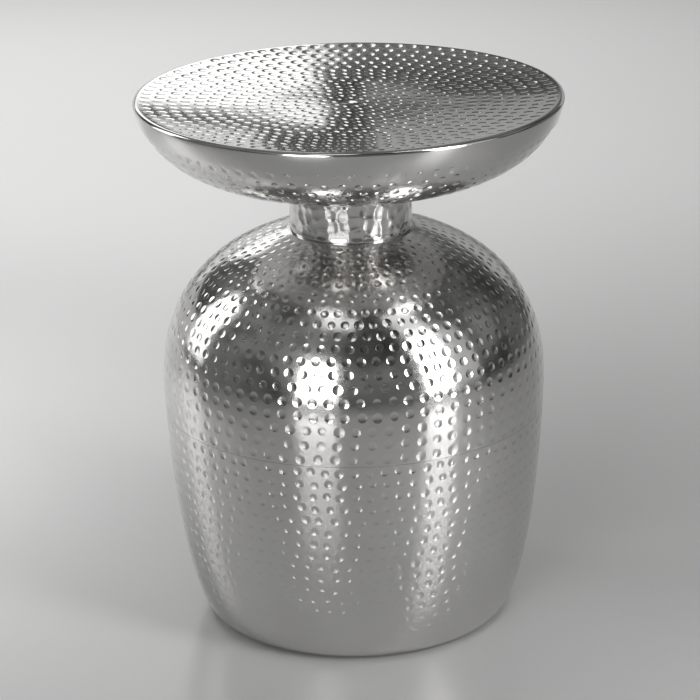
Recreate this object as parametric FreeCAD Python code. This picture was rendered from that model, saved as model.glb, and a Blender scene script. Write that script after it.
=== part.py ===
import FreeCAD
import Part

import math
import os

from FreeCAD import Vector

# Hammered drum side table: a dished hollow top, a short collar and a hollow drum base.
# All lengths are in millimetres, the floor is z = 0 and the table stands on the Z axis.
# A spun skin is drawn as the line of its outer face, in the half plane where x is the radius.
# The wall lies to the right of that line, and the section is turned round the Z axis.

# Whole table
TABLE_HEIGHT = 460.0       # floor to the crest of the rim
SEAT_BEND = 1.0            # inside radius of every pressed bend
LAP_GAP = 0.1              # play between two skins that lie one inside the other
EDGE_ROUND = 0.5           # softened edge of the collar and the pads

# Dished top skin
TOP_RADIUS = 180.0         # outside of the rim
DISH_DEPTH = 7.5           # crest of the rim down to the flat middle
DISH_FLAT_RADIUS = 60.0    # flat middle
DISH_EDGE_SLOPE = 7.5      # degrees, where the dish meets its lip
DISH_SHEET = 1.5           # wall
LIP_BEND = 1.5             # inside radius of the rolled lip
SKIRT_DROP = 17.0          # crest of the rim down to the edge of the turned-down skirt

# Bowl under the dish
BOWL_DEPTH = 70.0          # crest of the rim down to the seat on the collar
BOWL_LEAN = 11.0           # degrees from upright at the rim
BOWL_SHEET = 2.0           # wall
BOWL_LEDGE = 8.0           # flat of the bowl outside the collar
BOWL_SIDE_FULLNESS = 0.92  # pull of the curve at the rim, as a share of its fall
BOWL_FLOOR_FULLNESS = 0.26  # pull of the curve at the seat, as a share of its run

# Collar
COLLAR_RADIUS = 52.0       # outside
COLLAR_HEIGHT = 45.0
COLLAR_SHEET = 2.0         # wall

# Pressed bosses that centre the collar
BOSS_WALL = 2.0            # straight part of a boss between its two bends
BOSS_CLEARANCE = 0.3       # play between the collar and the root of a boss

# Drum base
BASE_RADIUS = 163.6        # widest
WIDEST_HEIGHT = 214.0      # floor to the widest ring
BASE_SHEET = 2.0           # wall
CROWN_LEDGE = 2.5          # flat of the crown outside the collar
SHOULDER_SLOPE = 15.0      # degrees below level where the shoulder leaves the crown
SHOULDER_RUN = 3.0         # straight start of the shoulder
SHOULDER_TOP_FULLNESS = 0.72
SHOULDER_SIDE_FULLNESS = 0.49
SIDE_TOP_FULLNESS = 0.10
SIDE_FOOT_FULLNESS = 0.26
FOOT_RADIUS = 122.2        # outer edge of the flat flange under the base
FOOT_CORNER = 12.3         # outside radius where the side turns into the flange
FOOT_LEAN = 27.5           # degrees from upright above that corner
MOUTH_LIP = 10.0           # height of the turned-up edge of the mouth
SEAM_DROP = 24.0           # widest ring down to the seam of the two base shells
SEAM_GAP = 0.2             # hairline between the two shells
BAND_HEIGHT = 24.0         # ring that backs the seam
BAND_SHEET = 2.0

# Felt pads
PAD_COUNT = 4
PAD_RADIUS = 12.0
PAD_THICKNESS = 2.0
PAD_MARGIN = 2.0           # flange left bare beside a pad

# Clamp: a metric ten bolt with its plates, washers and nut
BOLT_RADIUS = 5.0
BOLT_CHAMFER = 1.0
BOLT_STICK_OUT = 4.0       # bolt beyond its nut
HOLE_CLEARANCE = 0.5
THREAD_CLEARANCE = 0.05    # nut bore over the bolt
HEX_FLATS = 16.0           # across the flats of the head and the nut
HEX_CHAMFER_SLOPE = 30.0   # degrees
HEAD_HEIGHT = 6.4
NUT_HEIGHT = 8.0
PLATE_THICKNESS = 3.0
PLATE_CLEARANCE = 0.5      # plate inside its boss
PLAIN_WASHER_RADIUS = 10.0
PLAIN_WASHER_THICKNESS = 2.0
SPRING_WASHER_WIDTH = 4.0  # bore to outside
SPRING_WASHER_THICKNESS = 2.2
SPRING_WASHER_SLIT = 1.6

# Places that follow from the sizes above
LIP_RADIUS = LIP_BEND + DISH_SHEET
BOWL_SEAT = TABLE_HEIGHT - BOWL_DEPTH
CROWN_SEAT = BOWL_SEAT - COLLAR_HEIGHT
SEAM_HEIGHT = WIDEST_HEIGHT - SEAM_DROP
BOSS_RADIUS = COLLAR_RADIUS - COLLAR_SHEET - SEAT_BEND - BOSS_CLEARANCE
BOWL_BOSS = BOSS_WALL + 2 * SEAT_BEND + BOWL_SHEET
CROWN_BOSS = BOSS_WALL + 2 * SEAT_BEND + BASE_SHEET
BOWL_FLOOR = BOWL_SEAT - BOWL_BOSS + BOWL_SHEET
CROWN_CEILING = CROWN_SEAT + CROWN_BOSS - BASE_SHEET
HOLE_RADIUS = BOLT_RADIUS + HOLE_CLEARANCE
PAD_CIRCLE = FOOT_RADIUS - PAD_MARGIN - PAD_RADIUS
MOUTH_RADIUS = PAD_CIRCLE - PAD_RADIUS - PAD_MARGIN - SEAT_BEND - BASE_SHEET

ORIGIN = Vector(0, 0, 0)
UP = Vector(0, 0, 1)
OFFSET_SPANS = 16          # spans of a spline that follows a curve at a distance
SHORTEST = 1e-6            # a run shorter than this is left out
PARAMETER_STEP = 1e-9      # how closely a height is found along a curve


# Lines in the section plane

def at(radius, height):
    return Vector(radius, 0, height)


def heading(degrees):
    """Direction in the section plane, counted from outwards towards up."""
    angle = math.radians(degrees)
    return Vector(math.cos(angle), 0, math.sin(angle))


OUTWARD = heading(0)
INWARD = heading(180)
DOWN = heading(-90)


def left_of(direction):
    return Vector(-direction.z, 0, direction.x)


def bezier(start, start_way, start_pull, end, end_way, end_pull):
    curve = Part.BezierCurve()
    curve.setPoles([start, start + start_way * start_pull, end - end_way * end_pull, end])
    return curve


def arc(centre, radius, start_angle, end_angle):
    angles = (start_angle, (start_angle + end_angle) / 2, end_angle)
    return Part.Arc(*[centre + heading(angle) * radius for angle in angles])


def bent(points, sheet):
    """Straight runs joined by pressed bends, for a wall that lies right of the line."""
    curves = []
    start = points[0]
    for before, corner, after in zip(points, points[1:], points[2:]):
        come = (corner - before).normalize()
        go = (after - corner).normalize()
        turns_left = come.x * go.z > come.z * go.x
        radius = SEAT_BEND if turns_left else SEAT_BEND + sheet
        setback = radius * math.tan(come.getAngle(go) / 2)
        first = corner - come * setback
        last = corner + go * setback
        centre = first + left_of(come) * (radius if turns_left else -radius)
        middle = centre + (corner - centre).normalize() * radius
        if (first - start).Length > SHORTEST:
            curves.append(Part.LineSegment(start, first))
        curves.append(Part.Arc(first, middle, last))
        start = last
    curves.append(Part.LineSegment(start, points[-1]))
    return curves


def parameter_at(curve, height):
    """Where a falling curve passes a height."""
    first = curve.FirstParameter
    last = curve.LastParameter
    if height >= curve.value(first).z - SHORTEST:
        return first
    if height <= curve.value(last).z + SHORTEST:
        return last
    while last - first > PARAMETER_STEP:
        middle = (first + last) / 2
        if curve.value(middle).z > height:
            first = middle
        else:
            last = middle
    return first


def between(curves, top, bottom):
    """The stretches of falling curves that lie between two heights."""
    stretches = []
    for curve in curves:
        first = parameter_at(curve, top)
        last = parameter_at(curve, bottom)
        if last > first:
            stretch = curve.copy()
            stretch.segment(first, last)
            stretches.append(stretch)
    return stretches


def beside(curve, distance):
    """The line at one distance to the left of a curve's travel."""
    first = curve.FirstParameter
    span = (curve.LastParameter - first) / OFFSET_SPANS
    points = []
    for step in range(OFFSET_SPANS + 1):
        parameter = first + span * step
        way = curve.tangent(parameter)[0]
        points.append(curve.value(parameter) + left_of(way) * distance)
    if isinstance(curve, Part.LineSegment):
        return Part.LineSegment(points[0], points[-1])
    if isinstance(curve, Part.Arc):
        return Part.Arc(points[0], points[OFFSET_SPANS // 2], points[-1])
    spline = Part.BSplineCurve()
    start_way = curve.tangent(first)[0]
    end_way = curve.tangent(curve.LastParameter)[0]
    spline.interpolate(Points=points, InitialTangent=start_way, FinalTangent=end_way)
    return spline


def ends(curve):
    return curve.value(curve.FirstParameter), curve.value(curve.LastParameter)


# Solids

def turned(edges):
    """A closed section turned once round the Z axis."""
    wire = Part.Wire(Part.__sortEdges__(edges))
    return Part.Face(wire).revolve(ORIGIN, UP, 360)


def spun(curves, sheet):
    """A skin of one wall thickness, right of a line of curves."""
    backs = [beside(curve, -sheet) for curve in curves]
    start_rim = Part.LineSegment(ends(curves[0])[0], ends(backs[0])[0])
    end_rim = Part.LineSegment(ends(curves[-1])[1], ends(backs[-1])[1])
    return turned([line.toShape() for line in curves + backs + [start_rim, end_rim]])


def ring(inner, outer, bottom, height):
    """A flat ring, or a disc with a hole."""
    blank = Part.makeCylinder(outer, height, at(0, bottom))
    return blank.cut(Part.makeCylinder(inner, height, at(0, bottom)))


def hexagon(bottom, height):
    """A hexagon with the corners of both ends turned off."""
    corner = HEX_FLATS / math.sqrt(3)
    points = [FreeCAD.Rotation(UP, 60 * side).multVec(Vector(0, corner, bottom)) for side in range(6)]
    blank = Part.Face(Part.makePolygon(points + points[:1])).extrude(UP * height)
    flat = HEX_FLATS / 2
    fall = (corner - flat) * math.tan(math.radians(HEX_CHAMFER_SLOPE))
    section = [at(0, bottom), at(flat, bottom), at(corner, bottom + fall)]
    section += [at(corner, bottom + height - fall), at(flat, bottom + height), at(0, bottom + height)]
    limit = turned(Part.makePolygon(section + section[:1]).Edges)
    return blank.common(limit)


# Outlines of the two spun forms, from the top down

def bowl_outline():
    """Outer face of the bowl, from under the lip to the ledge over the collar."""
    lip_centre = at(TOP_RADIUS - LIP_RADIUS, TABLE_HEIGHT - LIP_RADIUS)
    rim = lip_centre + heading(-BOWL_LEAN) * (LIP_BEND - LAP_GAP)
    seat = at(COLLAR_RADIUS + BOWL_LEDGE, BOWL_SEAT)
    side_pull = (rim.z - seat.z) * BOWL_SIDE_FULLNESS
    floor_pull = (rim.x - seat.x) * BOWL_FLOOR_FULLNESS
    return bezier(rim, heading(-90 - BOWL_LEAN), side_pull, seat, INWARD, floor_pull)


def foot_corner():
    centre = at(FOOT_RADIUS, PAD_THICKNESS + FOOT_CORNER)
    return arc(centre, FOOT_CORNER, -FOOT_LEAN, -90)


def shoulder_start():
    return at(COLLAR_RADIUS + CROWN_LEDGE, CROWN_SEAT) + heading(-SHOULDER_SLOPE) * SHOULDER_RUN


def base_outline():
    """Outer face of the base: the shoulder and then the side."""
    start = shoulder_start()
    widest = at(BASE_RADIUS, WIDEST_HEIGHT)
    foot = ends(foot_corner())[0]
    top_pull = (widest.x - start.x) * SHOULDER_TOP_FULLNESS
    side_pull = (start.z - widest.z) * SHOULDER_SIDE_FULLNESS
    shoulder = bezier(start, heading(-SHOULDER_SLOPE), top_pull, widest, DOWN, side_pull)
    fall = widest.z - foot.z
    side = bezier(widest, DOWN, fall * SIDE_TOP_FULLNESS,
                  foot, heading(-90 - FOOT_LEAN), fall * SIDE_FOOT_FULLNESS)
    return [shoulder, side]


# Pieces

def top_dish():
    """Top skin: flat middle, rising dish, rolled lip and a skirt that hems the bowl."""
    middle = TABLE_HEIGHT - DISH_DEPTH
    flat_edge = at(DISH_FLAT_RADIUS, middle)
    lip_centre = at(TOP_RADIUS - LIP_RADIUS, TABLE_HEIGHT - LIP_RADIUS)
    lip = arc(lip_centre, LIP_RADIUS, 90 + DISH_EDGE_SLOPE, -BOWL_LEAN)
    lip_start = ends(lip)[0]
    pull = (lip_start.x - flat_edge.x) / 3
    rise = bezier(flat_edge, OUTWARD, pull, lip_start, heading(DISH_EDGE_SLOPE), pull)
    hemmed = between([bowl_outline()], TABLE_HEIGHT, TABLE_HEIGHT - SKIRT_DROP)
    skirt = [beside(curve, DISH_SHEET + LAP_GAP) for curve in hemmed]
    disc = Part.makeCylinder(DISH_FLAT_RADIUS, DISH_SHEET, at(0, middle - DISH_SHEET))
    return disc.fuse(spun([rise, lip] + skirt, DISH_SHEET)).removeSplitter()


def under_bowl():
    """Bowl skin, pressed down in the middle into a boss that centres the collar."""
    side = bowl_outline()
    boss = bent([ends(side)[1], at(BOSS_RADIUS, BOWL_SEAT), at(BOSS_RADIUS, BOWL_SEAT - BOWL_BOSS),
                 at(HOLE_RADIUS, BOWL_SEAT - BOWL_BOSS)], BOWL_SHEET)
    return spun([side] + boss, BOWL_SHEET)


def neck_collar():
    tube = ring(COLLAR_RADIUS - COLLAR_SHEET, COLLAR_RADIUS, CROWN_SEAT, COLLAR_HEIGHT)
    rims = [edge for edge in tube.Edges if isinstance(edge.Curve, Part.Circle)]
    return tube.makeFillet(EDGE_ROUND, rims)


def shoulder_shell():
    """Upper base shell: a boss for the collar, a narrow ledge and the shoulder."""
    crown = CROWN_SEAT + CROWN_BOSS
    boss = bent([at(HOLE_RADIUS, crown), at(BOSS_RADIUS, crown), at(BOSS_RADIUS, CROWN_SEAT),
                 at(COLLAR_RADIUS + CROWN_LEDGE, CROWN_SEAT), shoulder_start()], BASE_SHEET)
    shoulder = between(base_outline(), shoulder_start().z, SEAM_HEIGHT + SEAM_GAP / 2)
    return spun(boss + shoulder, BASE_SHEET)


def belly_shell():
    """Lower base shell: the side, the foot corner, the flange and the lip of the mouth."""
    corner = foot_corner()
    side = between(base_outline(), SEAM_HEIGHT - SEAM_GAP / 2, ends(corner)[0].z)
    flange = bent([ends(corner)[1], at(MOUTH_RADIUS, PAD_THICKNESS),
                   at(MOUTH_RADIUS, PAD_THICKNESS + MOUTH_LIP)], BASE_SHEET)
    return spun(side + [corner] + flange, BASE_SHEET)


def seam_band():
    """Ring inside the base that both shells are joined to."""
    half = BAND_HEIGHT / 2
    backed = between(base_outline(), SEAM_HEIGHT + half, SEAM_HEIGHT - half)
    return spun([beside(curve, -BASE_SHEET - LAP_GAP) for curve in backed], BAND_SHEET)


def clamp_plate(sheet, bottom):
    """Steel disc that fills the hollow side of a boss."""
    return ring(HOLE_RADIUS, BOSS_RADIUS - sheet - SEAT_BEND - PLATE_CLEARANCE, bottom, PLATE_THICKNESS)


def clamp_hardware():
    """The bolt hangs from the plate in the bowl; the rest draws the base up to the collar."""
    plate_bottom = CROWN_CEILING - PLATE_THICKNESS
    plain_bottom = plate_bottom - PLAIN_WASHER_THICKNESS
    spring_bottom = plain_bottom - SPRING_WASHER_THICKNESS
    nut_bottom = spring_bottom - NUT_HEIGHT
    bolt_bottom = nut_bottom - BOLT_STICK_OUT
    head_bottom = BOWL_FLOOR + PLATE_THICKNESS
    shank = Part.makeCylinder(BOLT_RADIUS, head_bottom - bolt_bottom - BOLT_CHAMFER,
                              at(0, bolt_bottom + BOLT_CHAMFER))
    tip = Part.makeCone(BOLT_RADIUS - BOLT_CHAMFER, BOLT_RADIUS, BOLT_CHAMFER, at(0, bolt_bottom))
    bolt = hexagon(head_bottom, HEAD_HEIGHT).fuse([shank, tip]).removeSplitter()
    nut_bore = Part.makeCylinder(BOLT_RADIUS + THREAD_CLEARANCE, NUT_HEIGHT, at(0, nut_bottom))
    spring = ring(HOLE_RADIUS, HOLE_RADIUS + SPRING_WASHER_WIDTH, spring_bottom, SPRING_WASHER_THICKNESS)
    slit = Part.makeBox(HOLE_RADIUS + SPRING_WASHER_WIDTH, SPRING_WASHER_SLIT, SPRING_WASHER_THICKNESS,
                        Vector(0, -SPRING_WASHER_SLIT / 2, spring_bottom))
    return {
        "bowl_fixing_plate": clamp_plate(BOWL_SHEET, BOWL_FLOOR),
        "clamp_bolt": bolt,
        "crown_clamp_plate": clamp_plate(BASE_SHEET, plate_bottom),
        "plain_washer": ring(HOLE_RADIUS, PLAIN_WASHER_RADIUS, plain_bottom, PLAIN_WASHER_THICKNESS),
        "spring_washer": spring.cut(slit),
        "clamp_nut": hexagon(nut_bottom, NUT_HEIGHT).cut(nut_bore),
    }


def foot_pads():
    """Felt discs under the flange, evenly round it and clear of the front."""
    pads = {}
    for number in range(PAD_COUNT):
        angle = math.radians(360 * (number + 0.5) / PAD_COUNT)
        centre = Vector(PAD_CIRCLE * math.cos(angle), PAD_CIRCLE * math.sin(angle), 0)
        disc = Part.makeCylinder(PAD_RADIUS, PAD_THICKNESS, centre)
        rims = [edge for edge in disc.Edges if isinstance(edge.Curve, Part.Circle)]
        floor_rim = min(rims, key=lambda edge: edge.CenterOfMass.z)
        pads["foot_pad_%d" % (number + 1)] = disc.makeFillet(EDGE_ROUND, [floor_rim])
    return pads


pieces = {
    "top_dish": top_dish(),
    "under_bowl": under_bowl(),
    "neck_collar": neck_collar(),
    "shoulder_shell": shoulder_shell(),
    "belly_shell": belly_shell(),
    "seam_band": seam_band(),
}
pieces.update(clamp_hardware())
pieces.update(foot_pads())

os.makedirs("parts", exist_ok=True)
for name, shape in pieces.items():
    solid = shape.Solids[0]
    if solid.Volume < 0:
        solid.reverse()
    solid.exportStep("parts/" + name + ".step")
    box = solid.optimalBoundingBox(True)
    print("%-18s %9.0f mm3  z %6.1f to %6.1f  radius %6.1f  %s"
          % (name, solid.Volume, box.ZMin, box.ZMax, box.XMax, "valid" if solid.isValid() else "NOT VALID"))
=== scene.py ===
# %% [markdown]
# # A hammered drum side table
#
# The table is two hollow shells of polished metal on one axis: a shallow dished top and a rounded drum
# base, with a short collar between them. Every outside face has been beaten with a round hammer, so its
# mirror finish breaks up into thousands of small cups. This lesson starts from the CAD frame, which gives
# each piece its place and size, and strikes the marks into real geometry with Geometry Nodes.

# %% The CAD frame
import math

import bmesh
import bpy
import numpy as np
from mathutils import Matrix, Vector


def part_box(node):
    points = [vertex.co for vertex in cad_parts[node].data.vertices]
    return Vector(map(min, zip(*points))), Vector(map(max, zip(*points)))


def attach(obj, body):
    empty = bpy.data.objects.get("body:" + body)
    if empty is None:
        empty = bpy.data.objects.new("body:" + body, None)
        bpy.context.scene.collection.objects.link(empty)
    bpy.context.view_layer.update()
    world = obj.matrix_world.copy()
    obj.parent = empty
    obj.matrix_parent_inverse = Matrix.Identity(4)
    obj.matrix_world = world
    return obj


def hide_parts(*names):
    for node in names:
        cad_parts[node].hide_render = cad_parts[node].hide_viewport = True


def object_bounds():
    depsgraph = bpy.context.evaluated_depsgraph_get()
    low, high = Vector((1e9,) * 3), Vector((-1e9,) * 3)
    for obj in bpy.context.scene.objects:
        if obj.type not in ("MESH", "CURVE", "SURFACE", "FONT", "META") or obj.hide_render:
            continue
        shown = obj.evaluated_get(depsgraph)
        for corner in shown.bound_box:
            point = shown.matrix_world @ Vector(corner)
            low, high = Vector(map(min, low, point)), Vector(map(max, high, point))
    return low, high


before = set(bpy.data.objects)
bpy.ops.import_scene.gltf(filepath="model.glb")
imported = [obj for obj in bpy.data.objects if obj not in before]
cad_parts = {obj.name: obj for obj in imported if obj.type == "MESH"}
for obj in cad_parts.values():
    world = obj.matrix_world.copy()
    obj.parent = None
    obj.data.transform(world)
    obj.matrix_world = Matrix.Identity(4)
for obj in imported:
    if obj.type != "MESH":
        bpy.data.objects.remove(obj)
cad_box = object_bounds()
MM = 0.001
TURN = 2 * math.pi
print("CAD box in mm", [[round(v / MM, 1) for v in corner] for corner in cad_box])

# %% [markdown]
# ## The camera
#
# The photo is taken with a long lens from a little above the top, and the picture is rolled by about a
# degree, so the right side of the rim stands higher than the left. A camera can be placed by eye, but here
# its distance, rise and focal length come from the rim, the collar and the foot in the photo. The roll is
# added about the camera's own line of sight, because the table itself stands upright.

# %% Camera
CAMERA_DISTANCE = 2.5
CAMERA_RISE = math.radians(19.96)
CAMERA_ROLL = math.radians(-1.1)
FOCAL_LENGTH = 149.35
SENSOR_WIDTH = 36.0
FRAME_SHIFT = (-0.005, 0.0044)
aim = Vector((0, 0, cad_box[1].z / 2))
camera_data = bpy.data.cameras.new("camera")
camera_data.sensor_width = SENSOR_WIDTH
camera_data.lens = FOCAL_LENGTH
camera_data.shift_x, camera_data.shift_y = FRAME_SHIFT
camera = bpy.data.objects.new("camera", camera_data)
camera.location = aim + CAMERA_DISTANCE * Vector((0, -math.cos(CAMERA_RISE), math.sin(CAMERA_RISE)))
sight = (aim - camera.location).to_track_quat("-Z", "Y").to_matrix()
camera.rotation_euler = (sight @ Matrix.Rotation(CAMERA_ROLL, 3, "Z")).to_euler()
bpy.context.scene.collection.objects.link(camera)
bpy.context.scene.camera = camera
print("camera at", [round(v, 3) for v in camera.location])

# %% [markdown]
# ## Node trees from expressions
#
# Shaders and Geometry Nodes are both trees of nodes. Written out link by link they are long, so one small
# class wraps a socket: arithmetic on two wires adds the Math node that does it, and add() makes any other
# node from its type, its settings and what goes into its sockets.

# %% A wire between nodes
class Wire:
    """A socket of a node tree; with no socket it only stands for the tree."""

    def __init__(self, tree, socket=None):
        self.tree = tree
        self.socket = socket

    def add(self, kind, settings=None, sockets=None, out=None):
        """A new node, and the wire of its named output or of its first one."""
        node = self.tree.nodes.new(kind)
        for name, value in (settings or {}).items():
            setattr(node, name, value)
        for name, value in (sockets or {}).items():
            self.feed(self.pick(node.inputs, name), value)
        return Wire(self.tree, self.pick(node.outputs, out) if node.outputs else None)

    def pick(self, sockets, name):
        if isinstance(name, int):
            return sockets[name]
        return next(s for s in sockets if s.enabled and name in (None, s.name))

    def feed(self, socket, value):
        """Links a wire, or each of a list of wires, and sets anything else as the socket's value."""
        for item in value if isinstance(value, list) else [value]:
            if isinstance(item, Wire):
                self.tree.links.new(item.socket, socket)
            else:
                socket.default_value = item

    def other(self, name):
        """Another output of the same node."""
        return Wire(self.tree, self.pick(self.socket.node.outputs, name))

    def math(self, operation, *values):
        return self.add("ShaderNodeMath", {"operation": operation}, dict(enumerate(values)))

    def vector(self, x=0.0, y=0.0, z=0.0):
        return self.add("ShaderNodeCombineXYZ", None, {"X": x, "Y": y, "Z": z})

    def parts(self):
        split = self.add("ShaderNodeSeparateXYZ", None, {"Vector": self})
        return split.other("X"), split.other("Y"), split.other("Z")

    def eased(self, start, end, low=0.0, high=1.0):
        """Goes softly from low to high while this value goes from start to end."""
        span = {"Value": self, "From Min": start, "From Max": end, "To Min": low, "To Max": high}
        return self.add("ShaderNodeMapRange", {"interpolation_type": "SMOOTHSTEP"}, span)

    def noise(self, scale, detail=2.0):
        """A soft noise at this place, between 0 and 1."""
        sockets = {"Vector": self, "Scale": scale, "Detail": detail}
        return self.add("ShaderNodeTexNoise", None, sockets, out="Fac")

    def __add__(self, value):
        return self.math("ADD", self, value)

    def __radd__(self, value):
        return self.math("ADD", value, self)

    def __sub__(self, value):
        return self.math("SUBTRACT", self, value)

    def __rsub__(self, value):
        return self.math("SUBTRACT", value, self)

    def __mul__(self, value):
        return self.math("MULTIPLY", self, value)

    def __rmul__(self, value):
        return self.math("MULTIPLY", value, self)

    def __truediv__(self, value):
        return self.math("DIVIDE", self, value)

    def __rtruediv__(self, value):
        return self.math("DIVIDE", value, self)


print("wire class ready")

# %% [markdown]
# ## The studio light
#
# Polished metal has almost no colour of its own: what it shows is the room. So the lights are placed by the
# directions that the table mirrors, counted round it from the camera. A lamp is usually given by its size
# and power, but here a panel is given by the angle that it fills, in degrees, and by its radiance, which is
# how bright it looks in the metal whatever its size.

# %% Placing soft panels
ROOM = 3.2
BACK = 2.4
EYE_HEIGHT = 0.27


def soft_panel(name, place, target, width, height, radiance):
    light = bpy.data.lights.new(name, "AREA")
    light.shape = "RECTANGLE"
    light.size = width
    light.size_y = height
    light.energy = radiance * math.pi * width * height
    panel = bpy.data.objects.new(name, light)
    panel.location = place
    panel.rotation_euler = (Vector(target) - Vector(place)).to_track_quat("-Z", "Y").to_euler()
    panel.visible_camera = False
    bpy.context.scene.collection.objects.link(panel)
    return panel


def spread(degrees):
    """How wide a panel is that fills this angle, seen from the table."""
    return 2 * ROOM * math.tan(math.radians(degrees / 2))


def around_table(azimuth, distance, height):
    """A place seen from the table: azimuth 0 is towards the camera, and grows to the right."""
    angle = math.radians(azimuth)
    return Vector((distance * math.sin(angle), -distance * math.cos(angle), height))


def upright_panel(name, azimuth, width, low, high, radiance):
    """A panel that stands upright between two elevations."""
    foot, head = (EYE_HEIGHT + ROOM * math.tan(math.radians(a)) for a in (low, high))
    middle = (foot + head) / 2
    place = around_table(azimuth, ROOM, middle)
    soft_panel(name, place, (0, 0, middle), spread(width), head - foot, radiance)


def facing_panel(name, azimuth, elevation, width, height, radiance):
    """A panel that hangs in the room and faces the table."""
    rise = math.radians(elevation)
    place = around_table(azimuth, ROOM * math.cos(rise), EYE_HEIGHT + ROOM * math.sin(rise))
    soft_panel(name, place, (0, 0, EYE_HEIGHT), spread(width), spread(height), radiance)


def back_panel(name, x, z, width, height, radiance):
    """A panel behind the table that faces the camera; its sizes are in metres."""
    soft_panel(name, (x, BACK, z), (x, 0, z), width, height, radiance)


print("panels stand", ROOM, "m away, and those behind", BACK, "m")

# %% [markdown]
# Two tall boxes stand in front, one a little left and one well to the right, and give the white bands down
# the drum. Dimmer panels over and beside them carry the bands up to the collar. Strips at the left light the
# left edge. Behind the table, three panels at the left whiten the left half of the dish and the left side of
# the bowl, and a dim one at the right keeps the other half grey.

# %% Panels
upright_panel("front_left_box", -22, 22, 1.5, 29, 6.6)
facing_panel("front_left_top", -22, 42, 20, 22, 0.08)
facing_panel("front_left_high", -15, 67, 16, 16, 1.2)
upright_panel("right_box", 51.5, 17, 1.5, 44, 9.8)
facing_panel("right_top", 52, 57, 15, 22, 0.88)
upright_panel("right_side", 71, 20, 0, 40, 0.4)
upright_panel("left_strip", -113, 18, 14, 38, 3.2)
upright_panel("left_strip_foot", -112, 20, 0, 14, 1.7)
upright_panel("left_back_wall", -138, 30, -4, 10, 0.45)
back_panel("back_left_panel", -0.64, 1.24, 1.2, 0.32, 1.7)
back_panel("back_left_high", -0.62, 1.64, 1.2, 0.48, 1.7)
back_panel("back_left_foot", -0.7, 0.62, 1.2, 0.56, 0.72)
back_panel("back_right_panel", 0.88, 0.7, 1.7, 0.8, 0.33)

# %% [markdown]
# Three more lamps shine on the floor only. A wide one makes the ground behind the table pale. A small one on
# each side lights the patch of floor that an edge of the drum mirrors. Each keeps its light in a cone, so
# the metal shows the lit floor and not the lamp.

# %% Lamps for the floor
def floor_light(name, place, target, width, height, radiance, cone):
    lamp = soft_panel(name, place, target, width, height, radiance)
    lamp.data.spread = math.radians(cone)


floor_light("floor_lamp", (-0.7, 0.9, 2.6), (-0.7, 2.6, 0), 2.5, 0.6, 11.5, 100)
floor_light("left_pool", (-0.92, 0.42, 1.7), (-0.6, 0.27, 0), 0.38, 0.38, 3.6, 36)
floor_light("right_pool", (0.55, -0.47, 1.7), (0.39, -0.33, 0), 0.25, 0.25, 1.5, 30)

# %% [markdown]
# Between the panels the room is dim, and lighter towards the ceiling. In an even grey the cups would vanish
# from the dark parts of the drum, so soft clouds vary it. A darker gap above the camera parts the two bands.

# %% The dim room
CLOUD_SCALE = 2.4
GAP_AZIMUTH = 11
GAP_RISE = math.radians(52)
world = bpy.data.worlds.new("dim_room")
world.use_nodes = True
room = Wire(world.node_tree)
way = room.add("ShaderNodeTexCoord", out="Generated")
_, _, up = way.parts()
clouds = way.noise(CLOUD_SCALE)
gap_way = tuple(around_table(GAP_AZIMUTH, math.cos(GAP_RISE), math.sin(GAP_RISE)))
gap = room.add("ShaderNodeVectorMath", {"operation": "DOT_PRODUCT"}, {0: way, 1: gap_way}, out="Value")
walls = up.eased(0.0, 0.9, 0.095, 0.2) * clouds.eased(0.32, 0.68, 0.25, 1.75)
walls = walls * gap.eased(0.85, 0.965, 1.0, 0.22)
room.feed(world.node_tree.nodes["Background"].inputs["Color"], walls)
bpy.context.scene.world = world
bpy.context.scene.view_settings.view_transform = "Standard"
print("dim room", len(world.node_tree.nodes), "nodes")

# %% [markdown]
# ## The floor
#
# The photo's ground is plain and pale. The floor could be matt, but the lower half of the drum mirrors it,
# and the white bands run on down to the foot. So it is a little glossy: it shows the blurred glare of the
# boxes, and the drum shows that.

# %% Floor
FLOOR_SIZE = 14.0
FLOOR_COLOUR = (0.46, 0.46, 0.457, 1)
FLOOR_ROUGHNESS = 0.25


def new_finish(name):
    """A material, the sockets of its Principled shader, and the wire that adds nodes to its tree."""
    finish = bpy.data.materials.new(name)
    finish.use_nodes = True
    shader = finish.node_tree.nodes["Principled BSDF"]
    return finish, shader.inputs, Wire(finish.node_tree)


floor_finish, sockets, _ = new_finish("pale_floor")
sockets["Base Color"].default_value = FLOOR_COLOUR
sockets["Roughness"].default_value = FLOOR_ROUGHNESS
half = FLOOR_SIZE / 2
floor_corners = [(-half, -half, 0), (half, -half, 0), (half, half, 0), (-half, half, 0)]
floor_mesh = bpy.data.meshes.new("floor")
floor_mesh.from_pydata(floor_corners, [], [(0, 1, 2, 3)])
floor_mesh.materials.append(floor_finish)
floor = bpy.data.objects.new("floor", floor_mesh)
bpy.context.scene.collection.objects.link(floor)
print("floor", FLOOR_SIZE, "m square")

# %% [markdown]
# ## The hammered metal
#
# The skins were polished on a lathe, which leaves fine lines that run round the axis. They blur a reflection
# up and down but not sideways, so the shader is anisotropic, and a noise stretched round the axis changes
# its roughness from line to line. The lines need the distance from the axis and the height, so the noise has
# four dimensions: the direction round the axis, which joins up at the back, the radius and the height. The
# dish is polished a little more than the rest.

# %% Parts of a finish
def on_piece(wire):
    return wire.add("ShaderNodeTexCoord", out="Object")


def round_the_axis(wire, lines, around):
    """Lines round the axis, so many to the metre, that change slowly along their way."""
    x, y, z = on_piece(wire).parts()
    radius = wire.math("SQRT", x * x + y * y)
    place = wire.vector(x / radius * around, y / radius * around, radius * lines)
    settings = {"Vector": place, "W": z * lines, "Scale": 1.0, "Detail": 2.0, "Roughness": 0.55}
    return wire.add("ShaderNodeTexNoise", {"noise_dimensions": "4D"}, settings, out="Fac")


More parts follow.
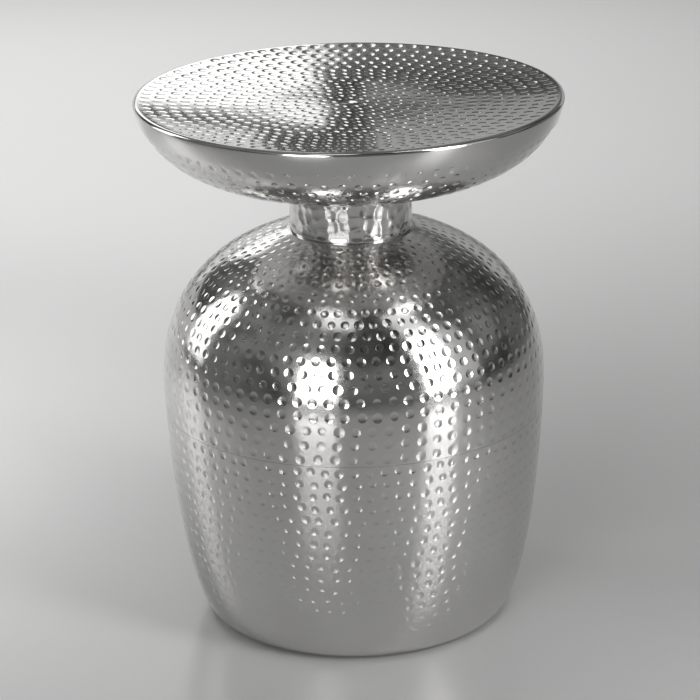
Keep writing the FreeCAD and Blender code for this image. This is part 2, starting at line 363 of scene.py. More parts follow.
def two_tone(wire, share, dark, light):
    sockets = {"Factor": share, "A": (*dark, 1), "B": (*light, 1)}
    return wire.add("ShaderNodeMix", {"data_type": "RGBA"}, sockets)


def bumped(wire, height, distance, strength):
    sockets = {"Height": height, "Distance": distance, "Strength": strength}
    return wire.add("ShaderNodeBump", None, sockets)


print("parts of a finish ready")

# %% Hammered metal
SCRATCH_LINES = 1400.0
TURNING_LINES = 130.0
SMUDGE_SCALE = 26.0
DARK_METAL = (0.59, 0.585, 0.573)
LIGHT_METAL = (0.67, 0.665, 0.653)
BODY_ROUGHNESS = 0.06
DISH_ROUGHNESS = 0.015
DISH_FROM, DISH_TO = 0.43, 0.44
hammered_metal, sockets, wire = new_finish("hammered_metal")
scratches = round_the_axis(wire, SCRATCH_LINES, 3.0)
turning = round_the_axis(wire, TURNING_LINES, 1.2)
smudges = on_piece(wire).noise(SMUDGE_SCALE)
_, _, z = on_piece(wire).parts()
polish = z.eased(DISH_FROM, DISH_TO, BODY_ROUGHNESS, DISH_ROUGHNESS)
sockets["Metallic"].default_value = 1.0
sockets["Anisotropic"].default_value = 0.45
sockets["Anisotropic Rotation"].default_value = 0.25
wire.feed(sockets["Base Color"], two_tone(wire, smudges, DARK_METAL, LIGHT_METAL))
wire.feed(sockets["Roughness"], polish + scratches * 0.10 + turning * 0.05 + smudges * 0.04)
wire.feed(sockets["Normal"], bumped(wire, turning + scratches * 0.15, 0.06 * MM, 0.3))
print("hammered metal", len(hammered_metal.node_tree.nodes), "nodes")

# %% [markdown]
# ## The finishes inside
#
# The pieces inside keep their CAD shape and only need a finish: plain sheet for the band behind the seam,
# zinc-plated steel for the clamp, with the faint cloudy grains of the plating, and grey felt for the pads.

# %% Sheet, plated steel and felt
plain_sheet, sockets, wire = new_finish("plain_sheet")
lines = round_the_axis(wire, 900.0, 2.0)
stains = on_piece(wire).noise(40.0)
sockets["Metallic"].default_value = 1.0
wire.feed(sockets["Base Color"], two_tone(wire, stains, (0.36, 0.357, 0.35), (0.43, 0.427, 0.418)))
wire.feed(sockets["Roughness"], 0.26 + lines * 0.16)

plated_steel, sockets, wire = new_finish("plated_steel")
grains = wire.add("ShaderNodeTexVoronoi", None, {"Vector": on_piece(wire), "Scale": 420.0})
clouding = on_piece(wire).noise(90.0, 4.0)
sockets["Metallic"].default_value = 1.0
wire.feed(sockets["Base Color"], two_tone(wire, clouding, (0.46, 0.46, 0.45), (0.58, 0.58, 0.565)))
wire.feed(sockets["Roughness"], 0.22 + grains * 0.12 + on_piece(wire).noise(60.0) * 0.12)

felt, sockets, wire = new_finish("felt")
fibres = on_piece(wire).noise(1500.0, 5.0)
sockets["Roughness"].default_value = 0.95
sockets["Sheen Weight"].default_value = 0.3
wire.feed(sockets["Base Color"], two_tone(wire, fibres, (0.045, 0.045, 0.047), (0.12, 0.12, 0.122)))
wire.feed(sockets["Normal"], bumped(wire, fibres, 0.3 * MM, 0.7))
print("finishes", [finish.name for finish in (plain_sheet, plated_steel, felt)])

# %% Finishing the nodes that stay
clamp = ("bowl_fixing_plate", "clamp_bolt", "crown_clamp_plate")
clamp += ("plain_washer", "spring_washer", "clamp_nut")
pads = ("foot_pad_1", "foot_pad_2", "foot_pad_3", "foot_pad_4")
for finish, nodes in ((plain_sheet, ("seam_band",)), (plated_steel, clamp), (felt, pads)):
    for node in nodes:
        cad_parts[node].data.materials.clear()
        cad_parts[node].data.materials.append(finish)
    print(finish.name, "on", len(nodes), "nodes")

# %% [markdown]
# ## Reading a turned piece from the CAD frame
#
# Each skin is turned about the axis, so one half of its section is the whole shape. The profiles could be
# written down again as numbers, but the section is cut from the CAD mesh itself, which keeps the scene true
# to the frame. Going clockwise round it, the outside face runs from its top to its foot, and the way back is
# the inside.

# %% Sections
TOUCH = 1e-6


def turned_outline(node):
    """The outline of a turned node at y = 0, x > 0, clockwise, as (radius, height) pairs."""
    solid = bmesh.new()
    solid.from_mesh(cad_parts[node].data)
    bmesh.ops.remove_doubles(solid, verts=solid.verts, dist=TOUCH)
    everything = solid.verts[:] + solid.edges[:] + solid.faces[:]
    plane = {"plane_co": (0, 0, 0), "plane_no": (0, 1, 0)}
    cut = bmesh.ops.bisect_plane(solid, geom=everything, dist=TOUCH, **plane)
    edges = [e for e in cut["geom_cut"] if isinstance(e, bmesh.types.BMEdge)]
    edges = [e for e in edges if min(v.co.x for v in e.verts) > -TOUCH]
    near = {}
    for edge in edges:
        for this, that in (edge.verts, reversed(edge.verts)):
            near.setdefault(this, []).append(that)
    ends = [v for v in near if len(near[v]) == 1]
    walk = [max(ends or near, key=lambda v: v.co.z)]
    while len(walk) < len(near):
        walk.append(next(v for v in near[walk[-1]] if v not in walk))
    outline = [(v.co.x, v.co.z) for v in walk]
    solid.free()
    if ends:
        off_axis = [p for p in outline if p[0] > TOUCH]
        return [(0.0, outline[0][1])] + off_axis + [(0.0, outline[-1][1])]
    area = sum(a[0] * b[1] - b[0] * a[1] for a, b in zip(outline, outline[1:] + outline[:1]))
    return outline if area < 0 else outline[::-1]


def nearest(outline, spot):
    return min(range(len(outline)), key=lambda i: math.dist(outline[i], spot))


def split_outline(outline, start, end):
    """The stretch from start to end, clockwise, and the rest of the way round."""
    first = nearest(outline, start)
    turned = outline[first:] + outline[:first]
    last = nearest(turned, end)
    return turned[:last + 1], turned[last:] + turned[:1]


outlines = {}
for node in ("top_dish", "under_bowl", "neck_collar", "shoulder_shell", "belly_shell"):
    outlines[node] = turned_outline(node)
    print(node, "section points", len(outlines[node]))

# %% [markdown]
# A CAD mesh has only as many points as its tolerance needs, and a mirror finish would show each of them as a
# facet. So a smooth curve is laid through the points of a section, with their own slopes, and is divided
# again in short steps.

# %% Smooth lines
CORNER = 0.6


def smooth_line(points, step):
    """Points about a step apart on a smooth curve through the given ones."""
    spots = np.array(points)
    gaps = np.linalg.norm(np.diff(spots, axis=0), axis=1)[:, None]
    slopes = np.diff(spots, axis=0) / gaps
    inner = (slopes[:-1] * gaps[1:] + slopes[1:] * gaps[:-1]) / (gaps[:-1] + gaps[1:])
    first = slopes[:1] if len(slopes) == 1 else 2 * slopes[:1] - inner[:1]
    last = slopes[-1:] if len(slopes) == 1 else 2 * slopes[-1:] - inner[-1:]
    leads = np.concatenate([first, inner, last])
    line = []
    for i, gap in enumerate(gaps[:, 0]):
        count = max(1, round(gap / step))
        t = (np.arange(count) / count)[:, None]
        line.append((1 + 2 * t) * (1 - t) ** 2 * spots[i] + t * (1 - t) ** 2 * gap * leads[i]
                    + t * t * (3 - 2 * t) * spots[i + 1] + t * t * (t - 1) * gap * leads[i + 1])
    return np.concatenate(line + [spots[-1:]])


def smooth_runs(points, step):
    """The same for a line with corners, which stay sharp."""
    spots = np.array(points)
    ways = np.diff(spots, axis=0)
    ways /= np.linalg.norm(ways, axis=1)[:, None]
    bends = np.arccos(np.clip((ways[:-1] * ways[1:]).sum(1), -1, 1))
    cuts = [0] + [i + 1 for i in range(len(bends)) if bends[i] > CORNER] + [len(spots) - 1]
    runs = [smooth_line(spots[a:b + 1], step) for a, b in zip(cuts, cuts[1:])]
    return np.concatenate([run[:-1] for run in runs] + [spots[-1:]])


print("corners stay from", round(math.degrees(CORNER)), "degrees")

# %% [markdown]
# ## Striking a sheet and wrapping it
#
# A hammered shell could be a dense mesh pushed in and out by a texture, but small round cups then need
# millions of faces to have crisp edges. A smith strikes a flat sheet, and the tree does the same: the blows
# go round in rings, each blow is one small cup with few faces, the flat metal between the cups is filled in,
# and the struck sheet is wrapped round the profile.
#
# The rings come from one long line of steps, 128 to a ring: each step is given the share of a blow that
# belongs to it, and the line is then divided again, blow by blow.

# %% Small helpers for Geometry Nodes
def new_tree(name, numbers, counts):
    """A Geometry Nodes tree with named inputs, and the wires of those inputs."""
    tree = bpy.data.node_groups.new(name, "GeometryNodeTree")
    tree.is_modifier = True
    kinds = [("Profile", "NodeSocketGeometry"), ("Finish", "NodeSocketMaterial")]
    kinds += [(n, "NodeSocketFloat") for n in numbers] + [(n, "NodeSocketInt") for n in counts]
    for label, kind in kinds:
        tree.interface.new_socket(label, in_out="INPUT", socket_type=kind)
    tree.interface.new_socket("Skin", in_out="OUTPUT", socket_type="NodeSocketGeometry")
    wire = Wire(tree)
    source = wire.add("NodeGroupInput")
    return wire, {label: source.other(label) for label, kind in kinds}


def position(wire):
    return wire.add("GeometryNodeInputPosition").parts()


def keep(wire, geometry, name, value):
    sockets = {"Geometry": geometry, "Name": name, "Value": value}
    return wire.add("GeometryNodeStoreNamedAttribute", None, sockets)


def kept(wire, name):
    return wire.add("GeometryNodeInputNamedAttribute", None, {"Name": name})


def placed(wire, geometry, place):
    return wire.add("GeometryNodeSetPosition", None, {"Geometry": geometry, "Position": place})


def shifted(wire, geometry, x, y=0.0):
    return wire.add("GeometryNodeSetPosition", None, {"Geometry": geometry, "Offset": wire.vector(x, y)})


def joined(wire, *shapes):
    return wire.add("GeometryNodeJoinGeometry", None, {"Geometry": list(shapes)})


def welded(wire, geometry, distance):
    return wire.add("GeometryNodeMergeByDistance", None, {"Geometry": geometry, "Distance": distance})


def removed(wire, geometry, domain, selection):
    sockets = {"Geometry": geometry, "Selection": selection}
    return wire.add("GeometryNodeDeleteGeometry", {"domain": domain}, sockets)


def compared(wire, test, a, b, kind="FLOAT"):
    return wire.add("FunctionNodeCompare", {"data_type": kind, "operation": test}, {"A": a, "B": b})


def chance(wire, given, span, draw, place=None):
    """A random number in a span; each use has a draw of its own, and a place can share one number."""
    sockets = {"Min": span[0], "Max": span[1], "Seed": given["Seed"] + float(draw)}
    if place is not None:
        sockets["ID"] = place
    return wire.add("FunctionNodeRandomValue", None, sockets)


print("helpers ready")

# %% Rings of blows
RING_STEPS = 128
RING_DRAW = 9
NEARLY = 0.0001
GUARD = 0.001


def curve_length(wire, curve):
    return wire.add("GeometryNodeCurveLength", None, {"Curve": curve})


def on_profile(wire, given, run):
    """Radius and height on the profile, and the way it heads there."""
    sockets = {"Curves": given["Profile"], "Length": run}
    spot = wire.add("GeometryNodeSampleCurve", {"mode": "LENGTH"}, sockets, out="Position")
    radius, _, height = spot.parts()
    out, _, up = spot.other("Tangent").parts()
    return radius, height, out, up


def turned_place(wire, radius, angle, height):
    return wire.vector(radius * wire.math("COSINE", angle), radius * wire.math("SINE", angle), height)


def ring_blows(wire, given):
    """One point for each blow, with its run down the profile and its angle kept on it."""
    struck = curve_length(wire, given["Profile"]) - given["First Margin"] - given["Last Margin"]
    ratio = given["Last Pitch"] / given["First Pitch"] + NEARLY
    steps = wire.math("LOGARITHM", ratio, math.e) * struck / (given["First Pitch"] * (ratio - 1.0))
    gaps = wire.math("ROUND", steps)
    index = wire.add("GeometryNodeInputIndex") / float(RING_STEPS)
    ring = wire.math("FLOOR", index + GUARD)
    share = ring / gaps
    growth = wire.math("POWER", ratio, share)
    run = given["First Margin"] + struck * (growth - 1.0) / (ratio - 1.0)
    pitch = given["First Pitch"] * growth
    angle = (index - ring + chance(wire, given, (0.0, 1.0), RING_DRAW, ring)) * TURN
    radius = on_profile(wire, given, run)[0]
    count = wire.math("ROUND", radius * TURN / (pitch * given["Spacing"]))
    ladder = wire.add("GeometryNodeMeshLine", None, {"Count": (gaps + 1.0) * float(RING_STEPS) + 1.0})
    for name, value in (("run", run), ("angle", angle), ("pitch", pitch), ("share", share)):
        ladder = keep(wire, ladder, name, value)
    sockets = {"Value": count / float(RING_STEPS)}
    total = wire.add("GeometryNodeAccumulateField", None, sockets, out="Trailing")
    path = placed(wire, ladder, wire.vector(total))
    path = wire.add("GeometryNodeMeshToCurve", None, {"Mesh": path})
    sockets = {"Curve": path, "Count": wire.math("ROUND", curve_length(wire, path)) + 1.0}
    path = wire.add("GeometryNodeResampleCurve", {"mode": "COUNT"}, sockets)
    points = wire.add("GeometryNodeCurveToPoints", {"mode": "EVALUATED"}, {"Curve": path})
    past = compared(wire, "GREATER_THAN", kept(wire, "share"), 1.0 + NEARLY)
    return removed(wire, points, "POINT", past)


print("rings of", RING_STEPS, "steps")

# %% [markdown]
# A blow leaves a cup, and its form decides how it glints. Cup Power sets it: with a low power the cup is
# round, and shows a bright and a dark crescent, as on the drum. With a high power its bottom is flat and
# only the edge is steep, and it shows a thin dash, as on the dish. The border of a cup stays flat, so that
# the metal between the cups keeps its smooth reflection.

# %% One cup
CUP_SIDES = 12
CUP_RINGS = 5
CUP_BORDER = 1.1
CUP_WELD = 0.01


def cup_shape(wire, given):
    """A round dent one unit in radius and depth with a flat border: a grid rolled into a disc."""
    grid = {"Size X": 1.0, "Size Y": 1.0, "Vertices X": CUP_SIDES + 1, "Vertices Y": CUP_RINGS}
    cup = wire.add("GeometryNodeMeshGrid", None, grid)
    across, along, _ = position(wire)
    ring = along + 0.5
    edge = (CUP_RINGS - 2) / (CUP_RINGS - 1)
    bend = (edge * CUP_BORDER - 1) / (edge - edge * edge)
    reach = ring * (CUP_BORDER - bend) + ring * ring * bend
    dip = wire.math("MINIMUM", wire.math("POWER", reach, given["Cup Power"]) - 1.0, 0.0)
    cup = placed(wire, cup, turned_place(wire, reach, (across + 0.5) * TURN, dip))
    return welded(wire, cup, CUP_WELD)


print("cup of", CUP_SIDES * (CUP_RINGS - 1), "faces")

# %% [markdown]
# Handwork is never quite even. Every blow differs a little in size and depth and misses its place a little,
# and a slow drift bends the rings. The marks also change from the first ring to the last in size and
# strength, because the smith works the curve, not a pattern.

# %% Blows on the flat sheet
SIZE_SPAN = (0.9, 1.04)
DEPTH_SPAN = (0.7, 1.2)
MISS_SPAN = (-1.0, 1.0)
SIZE_DRAW, DEPTH_DRAW, FIRST_MISS_DRAW, SECOND_MISS_DRAW = range(4)
DRIFT_SCALE = 14.0


def between(given, name, share):
    """Goes from the first value of an input pair to the last."""
    return given["First " + name] + share * (given["Last " + name] - given["First " + name])


def flat_blows(wire, given, blows):
    """The blows on the flat sheet: x goes round the axis and y down the profile."""
    run = kept(wire, "run")
    pitch = kept(wire, "pitch")
    share = kept(wire, "share")
    angle = kept(wire, "angle")
    radius, height, _, _ = on_profile(wire, given, run)
    size = pitch * between(given, "Size", share) * chance(wire, given, SIZE_SPAN, SIZE_DRAW)
    strength = between(given, "Strength", wire.math("SQRT", share))
    sink = size * given["Mark Depth"] * strength * chance(wire, given, DEPTH_SPAN, DEPTH_DRAW)
    stretch = given["Flat Radius"] / radius
    for name, value in (("size", size), ("sink", sink), ("stretch", stretch)):
        blows = keep(wire, blows, name, value)
    drift = turned_place(wire, radius, angle, height).noise(DRIFT_SCALE, 0.0)
    drift = (drift - 0.5) * given["Row Drift"] * share * (1.0 - share) * 4.0
    loose = pitch * given["Looseness"]
    x = wire.math("FLOORED_MODULO", angle, TURN) * given["Flat Radius"]
    x = x + kept(wire, "stretch") * loose * chance(wire, given, MISS_SPAN, FIRST_MISS_DRAW)
    y = run + loose * chance(wire, given, MISS_SPAN, SECOND_MISS_DRAW) + drift
    return placed(wire, blows, wire.vector(x, y))


print("blows vary in size by", SIZE_SPAN, "and in depth by", DEPTH_SPAN)

# %% [markdown]
# The sheet is made a little too long at both ends, with the blows of one end repeated past the other, and is
# then cut to length, so that its ends meet exactly. The flat metal is a fill between the edges of the cups
# and the edge of the sheet.

# %% The struck sheet
SPARE_STEPS = 32
SHEET_WELD = 0.01 * MM


def rims(wire, mesh):
    """The open edges of a mesh, as curves."""
    faces = wire.add("GeometryNodeInputMeshEdgeNeighbors")
    sockets = {"Mesh": mesh, "Selection": compared(wire, "EQUAL", faces, 1, "INT")}
    return wire.add("GeometryNodeMeshToCurve", None, sockets)


def moved_copy(wire, blows, near_end, shift):
    """The blows near one end of the sheet, repeated past the other end."""
    sockets = {"Geometry": blows, "Selection": near_end}
    return shifted(wire, wire.add("GeometryNodeSeparateGeometry", None, sockets), shift)


def cups_at(wire, given, blows):
    size = kept(wire, "size")
    scale = wire.vector(size * kept(wire, "stretch"), size, kept(wire, "sink"))
    sockets = {"Points": blows, "Instance": cup_shape(wire, given), "Scale": scale}
    cups = wire.add("GeometryNodeInstanceOnPoints", None, sockets)
    return wire.add("GeometryNodeRealizeInstances", None, {"Geometry": cups})


def struck_sheet(wire, given, length):
    girth = given["Flat Radius"] * TURN
    step = girth / given["Edge Steps"]
    spare = step * float(SPARE_STEPS // 2)
    x, _, _ = position(wire)
    blows = flat_blows(wire, given, ring_blows(wire, given))
    after = moved_copy(wire, blows, compared(wire, "LESS_THAN", x, spare), girth)
    before = moved_copy(wire, blows, compared(wire, "GREATER_THAN", x, girth - spare), girth * -1.0)
    cups = cups_at(wire, given, joined(wire, blows, after, before))
    grid = {"Size X": girth + step * float(2 * SPARE_STEPS), "Size Y": length,
            "Vertices X": given["Edge Steps"] + float(2 * SPARE_STEPS + 1), "Vertices Y": 2}
    border = wire.add("GeometryNodeMeshGrid", None, grid)
    border = shifted(wire, border, girth * 0.5, length * 0.5)
    edges = joined(wire, rims(wire, cups), rims(wire, border))
    sheet = joined(wire, wire.add("GeometryNodeFillCurve", None, {"Curve": edges}), cups)
    sheet = welded(wire, sheet, SHEET_WELD)
    low = compared(wire, "LESS_THAN", x, 0.0)
    high = compared(wire, "GREATER_EQUAL", x, girth)
    past = wire.add("FunctionNodeBooleanMath", {"operation": "OR"}, {0: low, 1: high})
    return removed(wire, sheet, "FACE", past)


print("sheet with", SPARE_STEPS, "steps to spare at each end")

# %% The whole skin
SKIN_NUMBERS = ("Flat Radius", "First Pitch", "Last Pitch", "Spacing", "First Size", "Last Size",
                "Mark Depth", "Cup Power", "First Margin", "Last Margin", "First Strength",
                "Last Strength", "Looseness", "Row Drift", "Wobble")
SKIN_COUNTS = ("Edge Steps", "Seed")
WAVE_SCALE = 22.0
WELD = 0.02 * MM


def at_ends(given, run, length):
    """Goes from 0 at both ends of the profile to 1 past the margins."""
    return run.eased(0.0, given["First Margin"]) * (length - run).eased(0.0, given["Last Margin"])


def wrapped(wire, given, sheet, length):
    """The sheet rolled round the axis; the push is outwards, to the left of the way down the profile."""
    x, y, lift = position(wire)
    angle = x / given["Flat Radius"]
    radius, height, out, up = on_profile(wire, given, y)
    wave = turned_place(wire, radius, angle, height).noise(WAVE_SCALE, 1.0)
    push = lift + (wave - 0.5) * given["Wobble"] * at_ends(given, y, length)
    return placed(wire, sheet, turned_place(wire, radius - up * push, angle, height + out * push))


def finish_skin(wire, given, skin):
    skin = welded(wire, skin, WELD)
    skin = wire.add("GeometryNodeSetShadeSmooth", None, {"Geometry": skin})
    skin = wire.add("GeometryNodeRealizeInstances", None, {"Geometry": skin})
    skin = wire.add("GeometryNodeSetMaterial", None, {"Geometry": skin, "Material": given["Finish"]})
    wire.add("NodeGroupOutput", None, {"Skin": skin})


def skin_tree():
    wire, given = new_tree("struck_skin", SKIN_NUMBERS, SKIN_COUNTS)
    length = curve_length(wire, given["Profile"])
    sheet = struck_sheet(wire, given, length)
    finish_skin(wire, given, wrapped(wire, given, sheet, length))
    return wire.tree


struck_skin = skin_tree()
print("struck skin tree", len(struck_skin.nodes), "nodes")

# %% Running a tree on a profile
EDGE_STEPS = 216
PROFILE_STEP = 0.5 * MM


def profile_curve(name, points):
    curve = bpy.data.curves.new(name, "CURVE")
    curve.dimensions = "3D"
    line = curve.splines.new("POLY")
    line.points.add(len(points) - 1)
    for spot, (radius, height) in zip(line.points, points):
        spot.co = (radius, 0, height, 1)
    profile = bpy.data.objects.new(name, curve)
    bpy.context.scene.collection.objects.link(profile)
    return profile


def grown_mesh(name, tree, points, values):
    """What the tree makes of a profile, as a plain mesh; the profile and its modifier are removed."""
    profile = profile_curve(name + "_profile", points)
    modifier = profile.modifiers.new(name, "NODES")
    modifier.node_group = tree
    items = tree.interface.items_tree
    sockets = {item.name: item.identifier for item in items if item.in_out == "INPUT"}
    for label, value in values.items():
        modifier[sockets[label]] = value
    seen = bpy.context.evaluated_depsgraph_get()
    mesh = bpy.data.meshes.new_from_object(profile.evaluated_get(seen), depsgraph=seen)
    bpy.data.objects.remove(profile)
    return mesh


print("steps round an edge", EDGE_STEPS)

# %% [markdown]
# ## Closing a wall
#
# A struck skin is only the outside of a sheet. Solidify could thicken it, but it would press the cups
# through to the inside and move the lip and the foot. So the rest of the CAD section, the edges and the
# inside, is turned about the axis and welded on, and each piece is one closed solid.

# %% Closed pieces
SHARP = math.radians(38)


def turned_rings(mesh, points):
    """Adds the faces of a line turned about the axis; a point on the axis closes to a fan."""
    rings = []
    for radius, height in points:
        count = 1 if radius < TOUCH else EDGE_STEPS
        angles = [TURN * i / EDGE_STEPS for i in range(count)]
        places = [(radius * math.cos(a), radius * math.sin(a), height) for a in angles]
        rings.append([mesh.verts.new(place) for place in places])
    for upper, lower in zip(rings, rings[1:]):
        for i in range(EDGE_STEPS):
            j = (i + 1) % EDGE_STEPS
            corners = [upper[i % len(upper)], lower[i % len(lower)]]
            corners += [lower[j % len(lower)], upper[j % len(upper)]]
            mesh.faces.new(list(dict.fromkeys(corners)))


def closed_piece(name, skin, lines, node):
    """A struck skin and the plain rest of its wall, joined into one closed piece for its node."""
    wall = bmesh.new()
    wall.from_mesh(skin)
    for line in lines:
        turned_rings(wall, line)
    bmesh.ops.remove_doubles(wall, verts=wall.verts, dist=WELD)
    bmesh.ops.recalc_face_normals(wall, faces=wall.faces)
    if wall.calc_volume(signed=True) < 0:
        bmesh.ops.reverse_faces(wall, faces=wall.faces)
    for face in wall.faces:
        face.smooth = True
    gaps = sum(not edge.is_manifold for edge in wall.edges)
    volume = round(wall.calc_volume() / (10 * MM) ** 3, 1)
    mesh = bpy.data.meshes.new(name)
    wall.to_mesh(mesh)
    wall.free()
    mesh.set_sharp_from_angle(angle=SHARP)
    mesh.materials.clear()
    mesh.materials.append(hammered_metal)
    piece = bpy.data.objects.new(name, mesh)
    bpy.context.scene.collection.objects.link(piece)
    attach(piece, "root")
    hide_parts(node)
    faces = sum(len(p.vertices) - 2 for p in mesh.polygons)
    print(name, faces, "triangles,", gaps, "open edges, volume", volume, "cm3")


def struck_piece(name, node, face, rest, marks):
    """Strikes the given face of a node and closes its wall with the rest of the outline."""
    line = smooth_line(face, PROFILE_STEP)
    values = {"Flat Radius": float(np.mean(line[:, 0])), "Edge Steps": EDGE_STEPS, "Finish": hammered_metal}
    skin = grown_mesh(name, struck_skin, line, {**values, **marks})
    closed_piece(name, skin, rest, node)


def hammer_marks(pitch, spacing, size, depth, power, margin, strength, looseness, drift, wobble, seed):
    """The inputs of the skin tree; pairs go from the first ring to the last, and lengths are in mm."""
    marks = {"Spacing": spacing, "Mark Depth": depth, "Cup Power": power, "Looseness": looseness,
             "Row Drift": drift * MM, "Wobble": wobble * MM, "Seed": seed}
    pairs = {"Pitch": pitch, "Size": size, "Margin": margin, "Strength": strength}
    for name, (first, last) in pairs.items():
        unit = MM if name in ("Pitch", "Margin") else 1.0
        marks["First " + name] = first * unit
        marks["Last " + name] = last * unit
    return marks


print("edges are sharp from", round(math.degrees(SHARP)), "degrees")

# %% [markdown]
# ## The base
#
# The base is two shells that meet in a seam below the widest place. Marks start small and close under the
# collar and grow to the widest place. Below the seam they are smaller and a little closer, and they get
# fainter towards the foot, where the hammer had less room. The shells could be one mesh, but the seam is a
# real joint, so each has its own marks and its own wall.

# %% Shoulder
LEDGE = 5.4 * MM
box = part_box("shoulder_shell")
collar_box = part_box("neck_collar")
crown = (collar_box[1].x + LEDGE, collar_box[0].z)
seam = (box[1].x, box[0].z)
face, rest = split_outline(outlines["shoulder_shell"], crown, seam)
shoulder_marks = hammer_marks(
    pitch=(8.4, 13.0), spacing=1.1, size=(0.39, 0.345), depth=0.105, power=2.5, margin=(5, 5.8),
    strength=(1.15, 1.1), looseness=0.05, drift=4, wobble=0.3, seed=11)
struck_piece("hammered_shoulder", "shoulder_shell", face, [rest], shoulder_marks)

# %% Belly
FOOT_TURN = (133.1 * MM, 8.6 * MM)
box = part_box("belly_shell")
seam = (box[1].x, box[1].z)
face, rest = split_outline(outlines["belly_shell"], seam, FOOT_TURN)
belly_marks = hammer_marks(
    pitch=(11.3, 10.4), spacing=1.06, size=(0.33, 0.31), depth=0.13, power=2.5, margin=(5.5, 6),
    strength=(1.3, 0.8), looseness=0.1, drift=4, wobble=0.3, seed=23)
struck_piece("hammered_belly", "belly_shell", face, [rest], belly_marks)

# %% [markdown]
# ## The top
#
# The top is a dish that is hemmed over the rim of a bowl. The dish is struck in rings from its middle to a
# smooth border, with one larger dent in the centre, where the rings can't go. Its lip and the skirt below it
# are left smooth and polished, so they are turned from the CAD section. The bowl has wide, deep marks under
# the skirt, which come closer towards the collar.

# %% Dish
MIDDLE = 9 * MM
BORDER = 3 * MM
PLAIN_STEP = 2.0 * MM
NEAR_AXIS = 40
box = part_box("top_dish")
outline = outlines["top_dish"]
lip = nearest(outline, (box[1].x, box[1].z))
top_face = smooth_line(outline[:lip + 1], PROFILE_STEP)
struck_points = [tuple(p) for p in top_face if MIDDLE < p[0] < box[1].x - BORDER]
middle_height = float(np.interp(MIDDLE, top_face[:NEAR_AXIS, 0], top_face[:NEAR_AXIS, 1]))
face = [(MIDDLE, middle_height)] + struck_points
edge = struck_points[-1]
outer = [edge] + [p for p in outline if p[0] > edge[0] or outline.index(p) > lip]
rim_and_under = smooth_runs(outer, PLAIN_STEP)
print("struck from", MIDDLE / MM, "to", round(edge[0] / MM, 1), "mm from the axis")

# %% Dish marks
DENT_DEPTH = 0.5 * MM
DENT_RADIUS = 4.5 * MM
middle_dent = [(0.0, middle_height - DENT_DEPTH)]
for radius in (2.0 * MM, 3.5 * MM, DENT_RADIUS):
    middle_dent.append((radius, middle_height - DENT_DEPTH * (1 - (radius / DENT_RADIUS) ** 2)))
middle_dent.append(face[0])
dish_marks = hammer_marks(
    pitch=(9.6, 12), spacing=1.02, size=(0.34, 0.395), depth=0.055, power=6.0, margin=(4.5, 6.4),
    strength=(1.2, 1.0), looseness=0.04, drift=2, wobble=0.25, seed=37)
struck_piece("hammered_dish", "top_dish", face, [rim_and_under, middle_dent], dish_marks)

# %% Bowl
SKIRT_COVER = 1 * MM
BOWL_SIDE = 170 * MM
BOWL_SEAT = 60 * MM
skirt_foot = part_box("top_dish")[0].z
outline = outlines["under_bowl"]
side = [p for p in outline if p[0] >= BOWL_SIDE]
start = min(side, key=lambda p: abs(p[1] - skirt_foot + SKIRT_COVER))
face, rest = split_outline(outline, start, (BOWL_SEAT, collar_box[1].z))
bowl_marks = hammer_marks(
    pitch=(10.4, 9.6), spacing=1.3, size=(0.36, 0.34), depth=0.22, power=2.0, margin=(5.2, 5),
    strength=(1.0, 0.8), looseness=0.08, drift=3, wobble=0.3, seed=41)
struck_piece("hammered_bowl", "under_bowl", face, [rest], bowl_marks)

# %% [markdown]
# ## The collar
#
# The collar was beaten harder, with a broad hammer, and its marks run into each other: tall facets that meet
# in ridges. Where marks overlap, each point of the surface lies in the nearest blow, so here a fine grid is
# pushed in by its distance to that blow. The grid is measured squashed in height, which makes the facets
# tall.

# %% Collar facets
FACET_NUMBERS = ("First Pitch", "Last Pitch", "Spacing", "Mark Depth", "First Margin", "Last Margin",
                 "Looseness", "Squash")
FACET_COUNTS = ("Edge Steps", "Rows", "Seed")
FACET_REACH = 0.62
RIDGE_LIMIT = 0.1


def loose_blows(wire, given):
    """The blows round the collar, each a little off its place, squashed in height."""
    blows = ring_blows(wire, given)
    loose = kept(wire, "pitch") * given["Looseness"]
    run = kept(wire, "run") + loose * chance(wire, given, MISS_SPAN, FIRST_MISS_DRAW)
    radius, height, _, _ = on_profile(wire, given, run)
    angle = kept(wire, "angle") + loose * chance(wire, given, MISS_SPAN, SECOND_MISS_DRAW) / radius
    return placed(wire, blows, turned_place(wire, radius, angle, height * given["Squash"]))


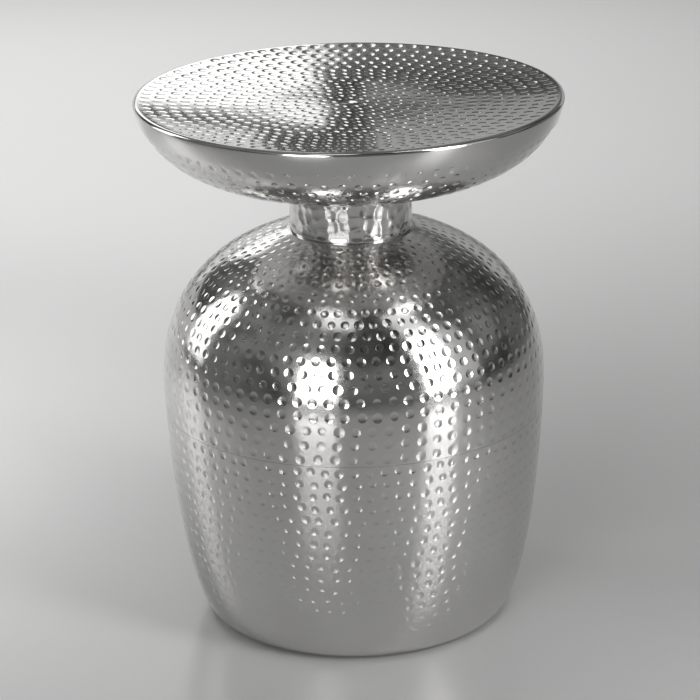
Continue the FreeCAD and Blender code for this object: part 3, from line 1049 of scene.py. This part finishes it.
def facet_tree():
    wire, given = new_tree("beaten_facets", FACET_NUMBERS, FACET_COUNTS)
    length = curve_length(wire, given["Profile"])
    blows = loose_blows(wire, given)
    sockets = {"Size X": 1.0, "Size Y": 1.0}
    sockets |= {"Vertices X": given["Edge Steps"] + 1.0, "Vertices Y": given["Rows"]}
    grid = wire.add("GeometryNodeMeshGrid", None, sockets)
    across, along, _ = position(wire)
    angle = (across + 0.5) * TURN
    run = (along + 0.5) * length
    radius, height, out, up = on_profile(wire, given, run)
    spot = turned_place(wire, radius, angle, height * given["Squash"])
    blow = wire.add("GeometryNodeSampleNearest", None, {"Geometry": blows, "Sample Position": spot})
    sockets = {"Geometry": blows, "Value": wire.add("GeometryNodeInputPosition"), "Index": blow}
    centre = wire.add("GeometryNodeSampleIndex", {"data_type": "FLOAT_VECTOR"}, sockets)
    away = wire.add("ShaderNodeVectorMath", {"operation": "DISTANCE"}, {0: spot, 1: centre})
    away = away / (given["First Pitch"] * FACET_REACH)
    push = wire.math("MINIMUM", away * away - 1.0, RIDGE_LIMIT) * given["Mark Depth"]
    push = push * at_ends(given, run, length)
    place = turned_place(wire, radius - up * push, angle, height + out * push)
    finish_skin(wire, given, placed(wire, grid, place))
    return wire.tree


beaten_facets = facet_tree()
print("facet tree", len(beaten_facets.nodes), "nodes")

# %% Collar
PLAIN_END = 2 * MM
top_end = (collar_box[1].x, collar_box[1].z - PLAIN_END)
foot_end = (collar_box[1].x, collar_box[0].z + PLAIN_END)
face, rest = split_outline(outlines["neck_collar"], top_end, foot_end)
facets = {
    "First Pitch": 9.5 * MM, "Last Pitch": 9.5 * MM, "Spacing": 1.0, "Mark Depth": 0.9 * MM,
    "First Margin": 2 * MM, "Last Margin": 4 * MM, "Looseness": 0.35, "Squash": 0.8,
    "Edge Steps": EDGE_STEPS, "Rows": 48, "Seed": 5, "Finish": hammered_metal}
skin = grown_mesh("hammered_collar", beaten_facets, smooth_line(face, PROFILE_STEP), facets)
closed_piece("hammered_collar", skin, [rest], "neck_collar")
